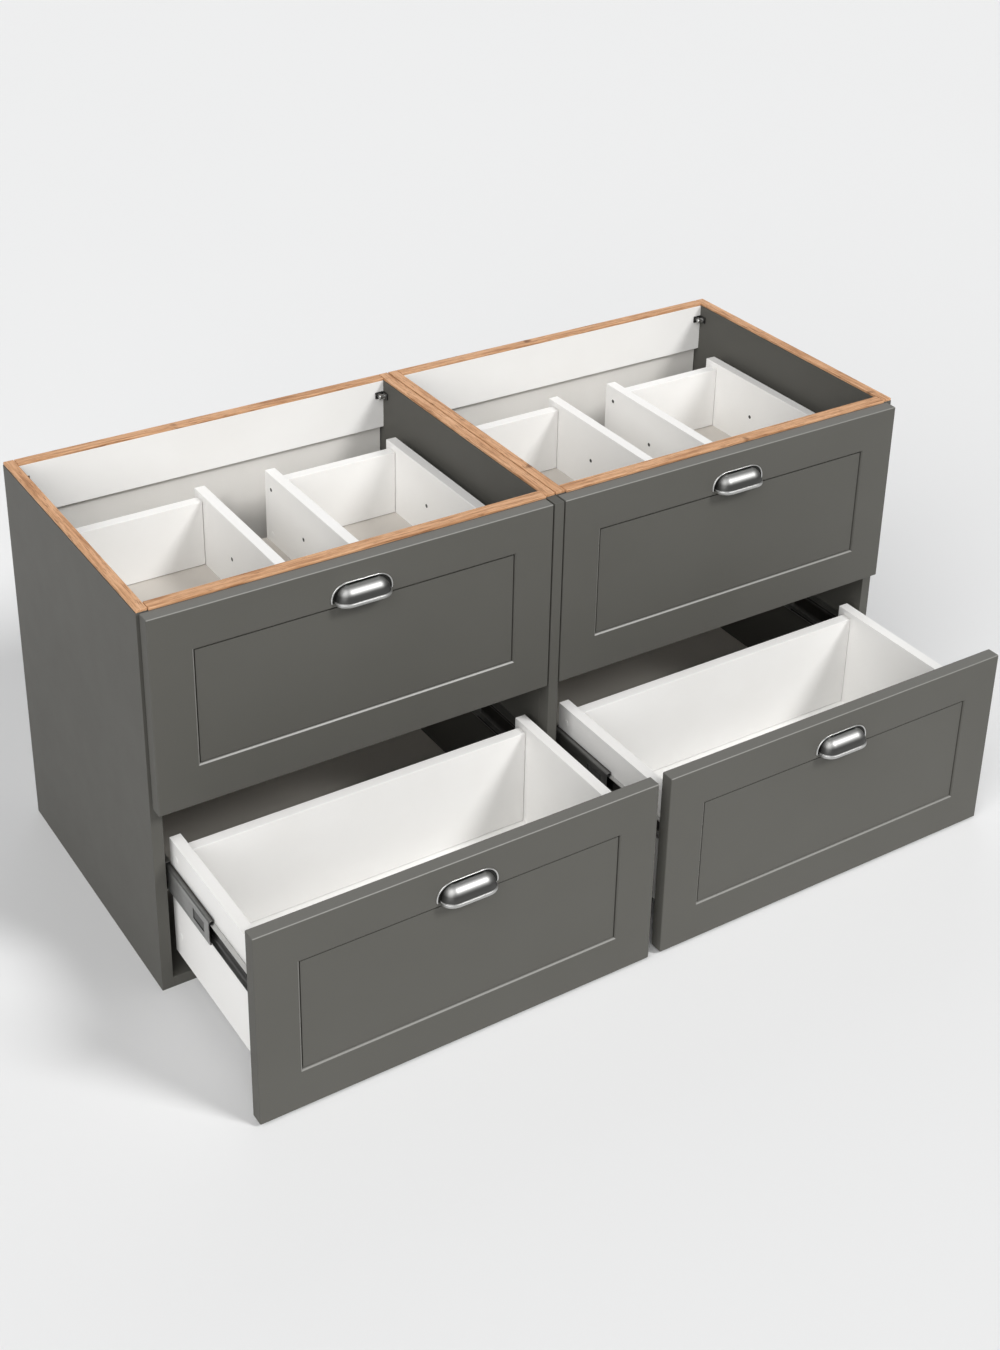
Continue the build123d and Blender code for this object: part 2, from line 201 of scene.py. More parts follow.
class Value:
    """A number or colour that varies over a surface; an operator on it adds a Math node to its finish."""

    def __init__(self, finish, socket):
        self.finish = finish
        self.socket = socket

    def math(self, operation, first, second=0.0):
        """A Math node on two numbers."""
        return self.finish.node("ShaderNodeMath", {"operation": operation}, {0: first, 1: second})

    def __add__(self, other):
        return self.math("ADD", self, other)

    def __radd__(self, other):
        return self.math("ADD", other, self)

    def __sub__(self, other):
        return self.math("SUBTRACT", self, other)

    def __rsub__(self, other):
        return self.math("SUBTRACT", other, self)

    def __mul__(self, other):
        return self.math("MULTIPLY", self, other)

    def __rmul__(self, other):
        return self.math("MULTIPLY", other, self)

    def above(self, low, high):
        """0 below low, 1 above high and a smooth step between them."""
        inputs = {"Value": self, "From Min": low, "From Max": high}
        return self.finish.node("ShaderNodeMapRange", {"interpolation_type": "SMOOTHSTEP"}, inputs)


class Finish:
    """One procedural material on a Principled shader, with constant sockets set directly."""

    def __init__(self, name, constants):
        self.material = bpy.data.materials.new(name)
        self.material.use_nodes = True
        self.tree = self.material.node_tree
        self.shader = self.tree.nodes["Principled BSDF"]
        for socket, value in constants.items():
            self.shader.inputs[socket].default_value = value

    def node(self, kind, settings, inputs, output=0):
        """Add a node: its settings first, then the values or links of its sockets; returns one output."""
        made = self.tree.nodes.new(kind)
        stops = settings.pop("stops", None)
        for key, value in settings.items():
            setattr(made, key, value)
        if stops:
            ramp = made.color_ramp.elements
            while len(ramp) < len(stops):
                ramp.new(0.5)
            for element, (position, colour) in zip(ramp, stops):
                element.position = position
                element.color = colour
        for key, value in inputs.items():
            self.feed(made.inputs[key], value)
        return Value(self, made.outputs[output])

    def feed(self, socket, value):
        """Link a varying value to a socket, or set a constant there."""
        if isinstance(value, Value):
            self.tree.links.new(value.socket, socket)
        else:
            socket.default_value = value

    def place(self, stretch=(1, 1, 1)):
        """The point on the piece in metres, stretched along the axes."""
        at = self.node("ShaderNodeTexCoord", {}, {}, "Object")
        return self.node("ShaderNodeMapping", {}, {"Vector": at, "Scale": stretch})

    def noise(self, at, scale, detail=2.0, roughness=0.5, distortion=0.0):
        """Soft noise around a half, with so many waves to the metre."""
        inputs = {"Vector": at, "Scale": scale, "Detail": detail, "Roughness": roughness,
                  "Distortion": distortion}
        return self.node("ShaderNodeTexNoise", {}, inputs)

    def ramp(self, value, stops):
        """A colour read off a row of stops."""
        return self.node("ShaderNodeValToRGB", {"stops": stops}, {"Fac": value})

    def blend(self, factor, first, second):
        """The first colour where the factor is 0, the second where it is 1: a Mix node takes its colours in
        sockets 6 and 7 and gives the mixed one in output 2."""
        return self.node("ShaderNodeMix", {"data_type": "RGBA"}, {0: factor, 6: first, 7: second}, 2)

    def bump(self, height, strength, distance):
        """A normal tilted by a height."""
        inputs = {"Strength": strength, "Distance": distance, "Height": height}
        return self.node("ShaderNodeBump", {}, inputs)

    def attribute(self, name):
        """A number that the piece's mesh carries, or 0 where it carries none."""
        return self.node("ShaderNodeAttribute", {"attribute_name": name}, {}, "Fac")

    def paint(self, **sockets):
        """Feed the shader's sockets and give back the material."""
        for key, value in sockets.items():
            self.feed(self.shader.inputs[key.replace("_", " ").title()], value)
        return self.material


def grey_lacquer(name, top=None):
    """Matt warm grey lacquer: a slow drift of tone, fine orange peel, faint handling marks in the sheen,
    a painted highlight that makes marked ledges and the top arris paler, with a smoother finish there, and
    a painted sheen that makes top edges paler. A board with a top level is paler in the skin at that level,
    towards its rear, as painted light in the dim space there."""
    finish = Finish(name, {"Specular IOR Level": 0.22})
    edge = finish.attribute("edge")
    painted_sheen = finish.attribute("painted_sheen")
    at = finish.place()
    drift = finish.noise(at, 5.0, 3.0)
    grain = finish.noise(at, 900.0, 2.0)
    peel = finish.noise(at, 420.0, 2.0, 0.4)
    rubbed = finish.noise(at, 22.0, 5.0, 0.6)
    tone = finish.blend(drift.above(0.3, 0.7), (0.0905, 0.0882, 0.0784, 1), (0.0955, 0.0932, 0.0832, 1))
    tone = finish.blend(0.25 * grain, tone, (0.105, 0.102, 0.092, 1))
    # Painted sheen: top edges made paler, standing in for light caught from above and behind
    tone = finish.blend(0.9 * painted_sheen, tone, (0.172, 0.169, 0.156, 1))
    # Painted highlight: marked ledges and the top arris made paler; the roughness below also makes them
    # smoother
    tone = finish.blend(0.8 * edge, tone, (0.260, 0.256, 0.240, 1))
    # Painted light: the skin at the top level turns paler towards the rear, where the space is dim
    if top is not None:
        height = finish.node("ShaderNodeSeparateXYZ", {}, {0: at}, "Z")
        depth = finish.node("ShaderNodeSeparateXYZ", {}, {0: at}, "Y")
        inside = height.above(top - 2 * face_skin, top - face_skin) * depth.above(pale_from, pale_full)
        tone = finish.blend(inside, tone, (0.56, 0.53, 0.48, 1))
    normal = finish.bump(peel, 0.05, 0.0006)
    return finish.paint(base_color=tone, roughness=0.48 + 0.10 * rubbed - 0.25 * edge, normal=normal)


def white_board(name, dark, light):
    """White melamine: a pearl texture too fine to see as relief, and a faint warm mottle."""
    finish = Finish(name, {"Specular IOR Level": 0.4})
    at = finish.place()
    mottle = finish.noise(at, 9.0, 4.0)
    pearl = finish.noise(at, 1300.0, 1.0)
    tone = finish.blend(mottle.above(0.3, 0.7), (*dark, 1), (*light, 1))
    normal = finish.bump(pearl, 0.05, 0.0003)
    return finish.paint(base_color=tone, roughness=0.36 + 0.12 * pearl, normal=normal)


def oak(name, stretch):
    """Oiled oak: broad figure and fine streaks along the strip, short dark pores and a few knots."""
    finish = Finish(name, {"Specular IOR Level": 0.35})
    along = finish.place(stretch)
    figure = finish.noise(along, 90.0, 4.0, 0.6, 1.0)
    streak = finish.noise(along, 330.0, 4.0, 0.65, 0.3)
    pore = finish.noise(along, 900.0, 2.0, 0.6)
    knot = finish.noise(finish.place(), 24.0, 2.0, 0.45)
    stops = [(0.33, (0.300, 0.133, 0.058, 1)), (0.44, (0.510, 0.262, 0.127, 1)),
             (0.52, (0.650, 0.365, 0.197, 1)), (0.66, (0.750, 0.453, 0.265, 1))]
    tone = finish.ramp(0.35 * figure + 0.65 * streak, stops)
    tone = finish.blend(0.75 * pore.above(0.54, 0.68), tone, (0.230, 0.100, 0.045, 1))
    tone = finish.blend(0.8 * knot.above(0.66, 0.74), tone, (0.150, 0.065, 0.028, 1))
    normal = finish.bump(streak - 0.6 * pore, 0.25, 0.0004)
    return finish.paint(base_color=tone, roughness=0.46 + 0.2 * pore, normal=normal)


def drawn_steel(name, dark, light, rough):
    """Zinc-plated steel with drawing streaks along the member, cloudy plating, and darkening where the
    balls run that is part grease and part painted shade."""
    finish = Finish(name, {"Metallic": 1.0})
    streak = finish.noise(finish.place((1, 0.03, 1)), 900.0, 3.0, 0.6)
    cloud = finish.noise(finish.place(), 60.0, 3.0)
    grease_and_painted_shade = finish.attribute("grease_and_painted_shade")
    tone = finish.blend(0.6 * streak + 0.4 * cloud, (*dark, 1), (*light, 1))
    # Grease with painted shade darkens the ball side and the middle channels' lips
    tone = finish.blend(grease_and_painted_shade, tone, (0.030, 0.027, 0.024, 1))
    normal = finish.bump(streak, 0.12, 0.0002)
    return finish.paint(base_color=tone, roughness=rough + 0.18 * cloud + 0.1 * grease_and_painted_shade, normal=normal)


def pull_metal():
    """Polished pewter-tone metal: bright where hands rub the lip and rim, a painted highlight in a thin
    line high on the dome, painted shade where the cup meets its rim, inside the cup and in the rim's
    groove, a painted dark reflection in a band on the lower dome, and a faint cast unevenness."""
    finish = Finish("pull_pewter", {"Metallic": 1.0})
    painted_shade_and_reflection = finish.attribute("painted_shade_and_reflection")
    polish_and_painted_highlight = finish.attribute("polish_and_painted_highlight")
    at = finish.place()
    cast = finish.noise(at, 160.0, 2.0)
    fine = finish.noise(at, 1400.0, 2.0)
    # Polish brightens the lip and rim, and paints a highlight line on the dome
    tone = finish.blend(polish_and_painted_highlight, (0.47, 0.47, 0.46, 1), (0.66, 0.66, 0.65, 1))
    # Painted shade and a painted dark reflection darken the metal
    tone = finish.blend(painted_shade_and_reflection, tone, (0.035, 0.035, 0.033, 1))
    rough = 0.41 - 0.11 * polish_and_painted_highlight + 0.05 * fine
    normal = finish.bump(cast + 0.1 * fine, 0.02, 0.0004)
    return finish.paint(base_color=tone, roughness=rough, normal=normal)


def moulded_plastic(name, dark, light):
    """Moulded plastic with a fine spark-eroded grain."""
    finish = Finish(name, {"Specular IOR Level": 0.5})
    grain = finish.noise(finish.place(), 1600.0, 2.0)
    tone = finish.blend(grain, (dark, dark, 0.97 * dark, 1), (light, light, 0.97 * light, 1))
    normal = finish.bump(grain, 0.2, 0.0002)
    return finish.paint(base_color=tone, roughness=0.38 + 0.2 * grain, normal=normal)


def dark_coating():
    """Dark coated steel with worn lighter flecks."""
    finish = Finish("bracket_dark", {"Metallic": 0.6})
    fleck = finish.noise(finish.place(), 500.0, 4.0, 0.7)
    tone = finish.blend(fleck.above(0.55, 0.75), (0.035, 0.034, 0.032, 1), (0.16, 0.155, 0.15, 1))
    return finish.paint(base_color=tone, roughness=0.34 + 0.2 * fleck)


finishes = {
    "grey_lacquer": grey_lacquer("grey_lacquer"),
    "white_board": white_board("white_board", (0.882, 0.871, 0.849), (0.902, 0.893, 0.874)),
    "oak_edge": oak("oak_along_units", (0.05, 1, 1)),
    "slide_steel": drawn_steel("slide_steel", (0.28, 0.28, 0.275), (0.50, 0.50, 0.49), 0.34),
    "cage_plastic": moulded_plastic("cage_plastic", 0.010, 0.026),
    "pull_pewter": pull_metal(),
    "screw_steel": drawn_steel("screw_steel", (0.45, 0.45, 0.44), (0.66, 0.66, 0.65), 0.24),
    "dowel_beech": oak("dowel_beech", (0.05, 1, 1)),
    "bracket_dark": dark_coating(),
}
oak_across = oak("oak_across_units", (1, 0.05, 1))
# The cabinet backs: white board darkened and warmed as painted shade
back_painted_shade = white_board("white_board_back_painted_shade", (0.700, 0.682, 0.648), (0.730, 0.713, 0.682))
# The upper drawers' floors: white board darkened and warmed as painted shade
floor_painted_shade = white_board("drawer_floor_painted_shade", (0.565, 0.528, 0.482), (0.600, 0.564, 0.518))
# The units' bottoms, with painted light in the top face's skin towards the rear
bottom_painted_light = grey_lacquer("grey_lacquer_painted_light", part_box("left_bottom")[1].z)
rail_steel = drawn_steel("rail_steel", (0.52, 0.52, 0.51), (0.74, 0.74, 0.73), 0.22)
lever_plastic = moulded_plastic("lever_plastic", 0.060, 0.085)
bronzed_screw = drawn_steel("bronzed_screw", (0.02, 0.019, 0.018), (0.06, 0.057, 0.053), 0.3)


def settle(name, points, faces, slot, body, nodes=(), material=None, corner_normals=None, attributes=None):
    """Make a finished piece: its mesh, its finish, given or else the one of its record slot, its body and
    the nodes it stands for.
    """
    mesh = bpy.data.meshes.new(name)
    mesh.from_pydata(points.tolist(), [], faces)
    mesh.shade_smooth()
    if corner_normals is None:
        mesh.set_sharp_from_angle(angle=sharp_angle)
    else:
        mesh.normals_split_custom_set(corner_normals.tolist())
    for key, values in (attributes or {}).items():
        mesh.attributes.new(key, "FLOAT", "POINT").data.foreach_set("value", values.astype(np.float32))
    mesh.materials.append(material or finishes[slot])
    piece = bpy.data.objects.new(name, mesh)
    bpy.context.scene.collection.objects.link(piece)
    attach(piece, body)
    if nodes:
        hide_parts(*nodes)


def quarter(start, end, steps=arc_steps):
    """Angles of an arc in equal steps, from degrees to radians."""
    return np.radians(np.linspace(start, end, steps + 1))


def soft_profile(thickness, radius):
    """Section of a board's edge from back to front: quarter round, straight, quarter round.
    Returns how far each ring lies in from the outline, its depth, and the turn of its normal."""
    back, fore = quarter(-90, 0), quarter(0, 90)
    inset = np.concatenate([radius * (1 - np.cos(back)), radius * (1 - np.cos(fore))])
    depth = np.concatenate([radius * (1 + np.sin(back)), thickness - radius + radius * np.sin(fore)])
    turn = np.concatenate([back, fore])
    return inset, depth, np.stack([turn[:-1], turn[1:]], -1)


def framed_profile(thickness):
    """Section of a framed front: the soft outer edge, the flat frame, a chamfer at the recess, the wall
    down into a narrow joint groove, and the wall up again to the field. Also says how far each ring
    belongs to the outer edge, to its front arris and to the ledge of the recess."""
    edge_inset, edge_depth, edge_turns = soft_profile(thickness, front_edge_round)
    wall = frame_width + chamfer_width
    joint = wall + groove_width
    field = thickness - recess_depth
    bed = field - groove_depth
    inner_inset = [frame_width - edge_run, frame_width, wall, wall, joint, joint]
    inner_depth = [thickness, thickness, thickness - chamfer_depth, bed, bed, field]
    slope = 90 + math.degrees(math.atan2(chamfer_depth, chamfer_width))
    inner_turn = np.radians([90, 90, slope, 180, 90, 0])
    on_ledge = [0, 1, 1, 0, 0, 0]
    inset = np.concatenate([edge_inset, inner_inset])
    depth = np.concatenate([edge_depth, inner_depth])
    turns = np.concatenate([edge_turns, np.stack([inner_turn, inner_turn], -1)])
    turn = np.concatenate([quarter(-90, 0), quarter(0, 90)])
    rim = np.concatenate([np.clip(sheen_spread * np.cos(turn), 0, 1), 0 * inner_turn])
    arris = np.concatenate([np.sin(2 * np.clip(turn, 0, None)) ** 2, 0 * inner_turn])
    ledge = np.concatenate([0 * turn, on_ledge])
    return (inset, depth, turns), rim, arris, ledge


def round_corners():
    """Outward directions round a rectangle with quarter-circle corners, as angles, from the right-hand top
    corner."""
    return np.repeat(quarter(0, 270, 3), arc_steps + 1) + np.tile(quarter(0, 90), 4)


def ringed_panel(low, high, axis, profile, corner_radius):
    """A panel between two corners: its edge section is carried round a rectangle with quarter-circle
    corners. A ring point is the corner centre plus the outward direction times what is left of the corner
    radius, and its normal turns from that direction towards the panel's face by the section's angle."""
    across, up, out = (np.array(way, float) for way in panel_ways[axis])
    low, high = np.array(low), np.array(high)
    middle, size = (low + high) / 2, high - low
    half = np.array([abs(size @ across), abs(size @ up)]) / 2
    thickness = abs(size @ out)
    inset, depth, turns = profile
    angle = round_corners()
    away = np.stack([np.cos(angle), np.sin(angle)], -1)
    corner = np.repeat(quarter(45, 315, 3), arc_steps + 1)
    side = np.sign(np.stack([np.cos(corner), np.sin(corner)], -1))
    left = np.maximum(corner_radius - inset, corner_radius * least_corner)[:, None, None]
    flat = side * (half - inset[:, None, None] - left) + away * left
    points = middle + flat[..., :1] * across + flat[..., 1:] * up
    points = points + (depth - thickness / 2)[:, None, None] * out
    rings, count = len(inset), len(angle)
    ring, place = np.meshgrid(np.arange(rings - 1), np.arange(count), indexing="ij")
    after = (place + 1) % count
    here, there = ring * count, (ring + 1) * count
    quads = np.stack([here + place, here + after, there + after, there + place], -1).reshape(-1, 4)
    outward = away[:, :1] * across + away[:, 1:] * up

    def lean(turn, at):
        """The outward direction at a place, turned towards the panel's face by an angle."""
        return outward[at] * np.cos(turn)[..., None] + out * np.sin(turn)[..., None]

    first, last = turns[:, 0][ring], turns[:, 1][ring]
    normals = [lean(first, place), lean(first, after), lean(last, after), lean(last, place)]
    normals = np.stack(normals, -2).reshape(-1, 3)
    caps = [list(range(count))[::-1], [(rings - 1) * count + i for i in range(count)]]
    normals = np.concatenate([normals, np.tile(-out, (count, 1)), np.tile(out, (count, 1))])
    return points.reshape(-1, 3), quads.tolist() + caps, normals


def lofted(section, closed_ends=True):
    """Faces of a grid of points, first index along the path and second round a closed section."""
    steps, count = section.shape[:2]
    step, place = np.meshgrid(np.arange(steps - 1), np.arange(count), indexing="ij")
    after = (place + 1) % count
    here, there = step * count, (step + 1) * count
    quads = np.stack([here + place, there + place, there + after, here + after], -1)
    faces = quads.reshape(-1, 4).tolist()
    if closed_ends:
        faces.append(list(range(count)))
        faces.append([(steps - 1) * count + i for i in range(count)][::-1])
    return section.reshape(-1, 3), faces


def turned(centre, axis, along, radius):
    """A turned shape: circles of the given radius, at growing places along an axis through the centre."""
    angle = np.linspace(0, 2 * math.pi, turned_sides, endpoint=False)
    rings = np.zeros((len(along), len(angle), 3))
    rings[..., axis] = np.array(along)[:, None]
    rings[..., (axis + 2) % 3] = np.array(radius)[:, None] * np.cos(angle)
    rings[..., (axis + 1) % 3] = np.array(radius)[:, None] * np.sin(angle)
    return lofted(rings + np.array(centre))


def joined(parts):
    """Several meshes as one list of points and one of faces."""
    points, faces, start = [], [], 0
    for part_points, part_faces in parts:
        points.append(part_points)
        faces.extend([[i + start for i in face] for face in part_faces])
        start += len(part_points)
    return np.concatenate(points), faces


def boards(name, spans, slot, body, nodes=(), material=None, soft=edge_soft):
    """Boards with all their edges eased, as one piece; each is as thick as its shortest side."""
    parts, normals = [], []
    for low, high in spans:
        size = np.array(high) - np.array(low)
        axis = "xyz"[int(np.argmin(size))]
        points, faces, leaning = ringed_panel(low, high, axis, soft_profile(size.min(), soft), soft)
        parts.append((points, faces))
        normals.append(leaning)
    points, faces = joined(parts)
    settle(name, points, faces, slot, body, nodes, material, np.concatenate(normals))


def seamed(span):
    """A board's span with a face that lies next to the seam between the units moved onto it, so that no
    light passes there."""
    across = [0.0 if abs(corner.x) < seam_reach else corner.x for corner in span]
    return [Vector((x, corner.y, corner.z)) for x, corner in zip(across, span)]


def cabinet_boards():
    """Sides, bottoms, backs, rails and filler as eased boards, and the oak strips on the units' rims."""
    for unit in units:
        for part in ("side_left", "side_right", "bottom", "back", "back_rail", "front_rail"):
            node = f"{unit}_{part}"
            # Bottoms get painted light towards the rear, backs a painted shade
            painted_shading = {"bottom": bottom_painted_light, "back": back_painted_shade}.get(part)
            boards(f"{node}_board", [seamed(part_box(node))], slot_of[node], "carcass", [node], painted_shading)
        left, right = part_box(f"{unit}_side_left"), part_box(f"{unit}_side_right")
        fore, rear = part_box(f"{unit}_front_rail"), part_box(f"{unit}_back_rail")
        node = f"{unit}_oak_strips"
        slot = slot_of[node]
        low, high = (corner.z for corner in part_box(node))
        over = [((near.x + strip_gap, near.y, low), (far.x - strip_gap, far.y, high))
                for near, far in (left, right)]
        between = [((left[1].x, near.y, low), (right[0].x, far.y, high)) for near, far in (fore, rear)]
        boards(f"{unit}_side_oak_strips", over, slot, "carcass", [node], oak_across, oak_soft)
        boards(f"{unit}_front_and_rear_oak_strips", between, slot, "carcass", [node], soft=oak_soft)
    node = "filler_strip"
    boards(f"{node}_board", [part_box(node)], slot_of[node], "carcass", [node])


def framed_front(unit, level):
    """One drawer front with its framed field, where its node is. A painted sheen makes its top edge paler,
    and a painted highlight makes the arris of that edge and the ledge of the recess at the bottom and on
    the left paler, with a smoother finish there."""
    node = f"{unit}_{level}_front"
    low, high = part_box(node)
    profile, rim, arris, ledge = framed_profile(high.y - low.y)
    points, faces, normals = ringed_panel(low, high, "y", profile, front_edge_round)
    right, up = np.cos(round_corners()), np.sin(round_corners())
    upper, lower = np.clip(up, 0, 1), np.clip(-right - up, 0, 1)
    # Painted sheen on the top edge; painted highlight on the top arris and on the bottom and left ledges
    painted_sheen = np.outer(rim, upper)
    edge = np.outer(arris, upper) + np.outer(ledge, lower)
    settle(f"{node}_panel", points, faces, slot_of[node], f"{unit}_{level}_drawer", [node], None, normals,
           {"edge": edge.ravel(), "painted_sheen": painted_sheen.ravel()})


def cup_path(straight):
    """Walk along the cup from its right end to its left end: a quarter turn, a straight stretch, a quarter
    turn. The turns follow a superellipse, so the ends are fuller than round ones. Returns the place along
    the straight stretch and the share of the end's length and of the reach at each step."""
    turn = np.concatenate([quarter(0, 90, end_steps), quarter(90, 180, end_steps)])
    along = np.repeat([straight, -straight], end_steps + 1)
    power = 2 / cup_fullness
    end = np.sign(np.cos(turn)) * abs(np.cos(turn)) ** power
    reach = np.clip(np.sin(turn), 0, 1) ** power
    return along, end, reach


def squared(share):
    """A circle's cosine or sine made that of a superellipse of the fourth power."""
    return np.sign(share) * np.sqrt(abs(share))


def cup_pull(unit, level):
    """A cup pull: a quarter-ellipse shell with a rolled lip band carried along the cup's path, a rim with a
    groove behind it carried over the same path in the plane of the front, and two screw bosses inside. The
    lip band's section is a superellipse, taller than it is thick. The lip and the rim thin out where the
    path comes down to the front."""
    node = f"{unit}_{level}_handle"
    low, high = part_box(node)
    half_width = (high.x - low.x) / 2 - flange_end
    height = high.z - low.z - cup_lip_round - flange_width
    reach = high.y - low.y - cup_lip_round + cup_wall / 2
    along, cosine, sine = (row[:, None] for row in cup_path(half_width - cup_end))
    base = np.array([(low.x + high.x) / 2, high.y, low.z + cup_lip_round])
    outer = np.radians(np.linspace(dome_high, dome_low, dome_steps))
    band = np.radians(np.linspace(band_start, band_end, band_steps))
    inner = outer[::-1]
    steps = len(along)

    def thinned(grow, least):
        """What stands out from the cup, cut down by a quarter circle to the least share at its feet."""
        share = np.clip(sine / foot_run, 0, 1)
        return np.where(grow > 0, grow * (least + (1 - least) * np.sqrt(1 - (1 - share) ** 2)), grow)

    def dome(angle, grow):
        """A quarter ellipse grown by a margin: its half-length at the ends, its reach and its height."""
        flat, upright = np.cos(angle), np.sin(angle)
        shares = (cup_end + grow) * flat, (reach + grow) * flat, (height + grow) * upright
        return [np.tile(share, (steps, 1)) for share in shares]

    ring = thinned(cup_lip_round * squared(np.cos(band)) - cup_wall / 2, lip_foot)
    level_of = cup_lip_half - cup_lip_round + cup_lip_half * squared(np.sin(band))
    rolled = cup_end + ring, reach + ring, np.tile(level_of, (steps, 1))
    skins = zip(dome(outer, 0), rolled, dome(inner, -cup_wall))
    ends, out, rise = (np.concatenate(rows, 1) for rows in skins)
    shell = np.stack([along + ends * cosine, -out * sine, rise], -1)

    round_over = quarter(0, 180, 2 * arc_steps)
    edge = np.concatenate([[0], bead_width / 2 * (1 - np.cos(round_over))])
    grow = thinned(np.concatenate([flange_width - edge, [-cup_wall, -cup_wall]])[None, :], rim_foot)
    bead = flange_low + (flange_high - flange_low) * np.sin(round_over)
    stand = np.concatenate([[0], bead, [flange_low, 0]])[None, :]
    wider = grow * flange_end / flange_width
    rim = np.stack([along + (cup_end + wider) * cosine, -stand + 0 * sine, (height + grow) * sine], -1)

    parts = [lofted(shell), lofted(rim)]
    for side in (1, -1):
        foot = (side * boss_pitch / 2, 0, height / 2)
        parts.append(turned(foot, 1, (-boss_length, 0), (boss_radius, boss_radius)))
    points, faces = joined(parts)

    spare = len(points) - steps * (ends.shape[1] + grow.shape[1])
    slope = np.degrees(outer)
    # Painted shade: a dark reflection band on the lower dome, and shade in the crease at its top, inside
    # the cup and in the rim's groove
    below = np.clip((shade_low - slope) / shade_low_run, 0, 1)
    above = np.clip((slope - shade_high) / shade_high_run, 0, 1)
    painted_dome_shade = np.concatenate([dome_painted_shade * np.maximum(below, above), 0 * band, inside_painted_shade + 0 * inner])
    shaded = np.clip((np.degrees(round_over) - bead_shade) / (180 - bead_shade), 0, 1)
    groove = np.concatenate([[0], shaded, [1, 1]])
    painted_shade_and_reflection = np.concatenate([np.tile(painted_dome_shade, steps), np.tile(groove, steps), np.full(spare, inside_painted_shade)])
    # Painted highlight: a thin bright line on the dome; the lip and rim are polished
    line = np.clip(1 - abs(slope - highlight_line) / highlight_half, 0, 1)
    rubbed = np.concatenate([line, np.full(len(band), lip_polish), 0 * inner])
    polish_and_painted_highlight = np.concatenate([np.tile(rubbed, steps), np.tile(1 - groove, steps), np.zeros(spare)])
    settle(f"{unit}_{level}_cup_pull", points + base, faces, slot_of[node], f"{unit}_{level}_drawer",
           [node], attributes={"painted_shade_and_reflection": painted_shade_and_reflection, "polish_and_painted_highlight": polish_and_painted_highlight})


def channel(low, high, reach, facing, windows, lip_grease_and_shade):
    """A rolled channel along Y: the sheet's middle line runs from lip to bend to web to bend to lip, and
    its two skins lie half a sheet to each side. Each window is a stretch of the web that is left open, with
    edges of its own. Returns points, faces and how dark each point is, part grease and part painted shade:
    the ball side is, the outer side only at its lips."""
    half = (high.z - low.z) / 2
    level = (high.z + low.z) / 2
    mid = sheet / 2
    bend = quarter(180, 270)[::-1]
    arc = bend_radius - mid
    x = np.concatenate([[reach], mid + arc + arc * np.cos(bend), [mid]])
    z = np.concatenate([[-half + mid], -half + mid + arc + arc * np.sin(bend), [-window_half]])
    lean_x = np.concatenate([[0.0], np.cos(bend), [-1.0]])
    lean_z = np.concatenate([[-1.0], np.sin(bend), [0.0]])
    x, z = np.concatenate([x, x[::-1]]), np.concatenate([z, -z[::-1]])
    lean_x, lean_z = np.concatenate([lean_x, lean_x[::-1]]), np.concatenate([lean_z, -lean_z[::-1]])
    skin_x = np.concatenate([x + mid * lean_x, (x - mid * lean_x)[::-1]])
    skin_z = np.concatenate([z + mid * lean_z, (z - mid * lean_z)[::-1]])
    stations = np.array(sorted({low.y, high.y, *[y for window in windows for y in window]}))
    wall = low.x if facing > 0 else high.x
    shape = (len(stations), len(skin_x))
    grid = np.stack([np.broadcast_to(wall + facing * skin_x, shape),
                     np.broadcast_to(stations[:, None], shape),
                     np.broadcast_to(level + skin_z, shape)], -1)
    count = len(skin_x)
    web = len(x) // 2 - 1
    back = count - 2 - web
    points, faces = lofted(grid, False)
    open_rows = [int(np.argmin(abs(stations - start))) for start, _ in windows]
    kept = [face for i, face in enumerate(faces)
            if i // count not in open_rows or i % count not in (web, back)]
    around = np.array([web, web + 1, back, back + 1])
    for row in open_rows:
        near = (row * count + around).tolist()
        far = ((row + 1) * count + around).tolist()
        low_edge = [near[0], far[0], far[3], near[3]]
        high_edge = [near[2], far[2], far[1], near[1]]
        kept += [near[::-1], far, low_edge, high_edge]
    ends = np.arange(len(x) - 1)
    for row in (0, (len(stations) - 1) * count):
        strip = np.stack([row + ends, row + ends + 1, row + count - 2 - ends, row + count - 1 - ends], -1)
        kept += (strip[:, ::-1] if row else strip).tolist()
    outward = kept if facing < 0 else [face[::-1] for face in kept]
    # Painted shade with grease: dark on the ball side, and on the lips of the middle channels
    ball_side = np.where(abs(z[::-1]) < half - bend_radius, web_grease_and_shade, bend_grease_and_shade)
    grease_and_shade = np.concatenate([np.zeros(len(x)), ball_side])
    grease_and_shade[[len(x), count - 1]] = 0.0
    grease_and_shade[[0, len(x) - 1]] = lip_grease_and_shade
    return points, outward, np.tile(grease_and_shade, len(stations))


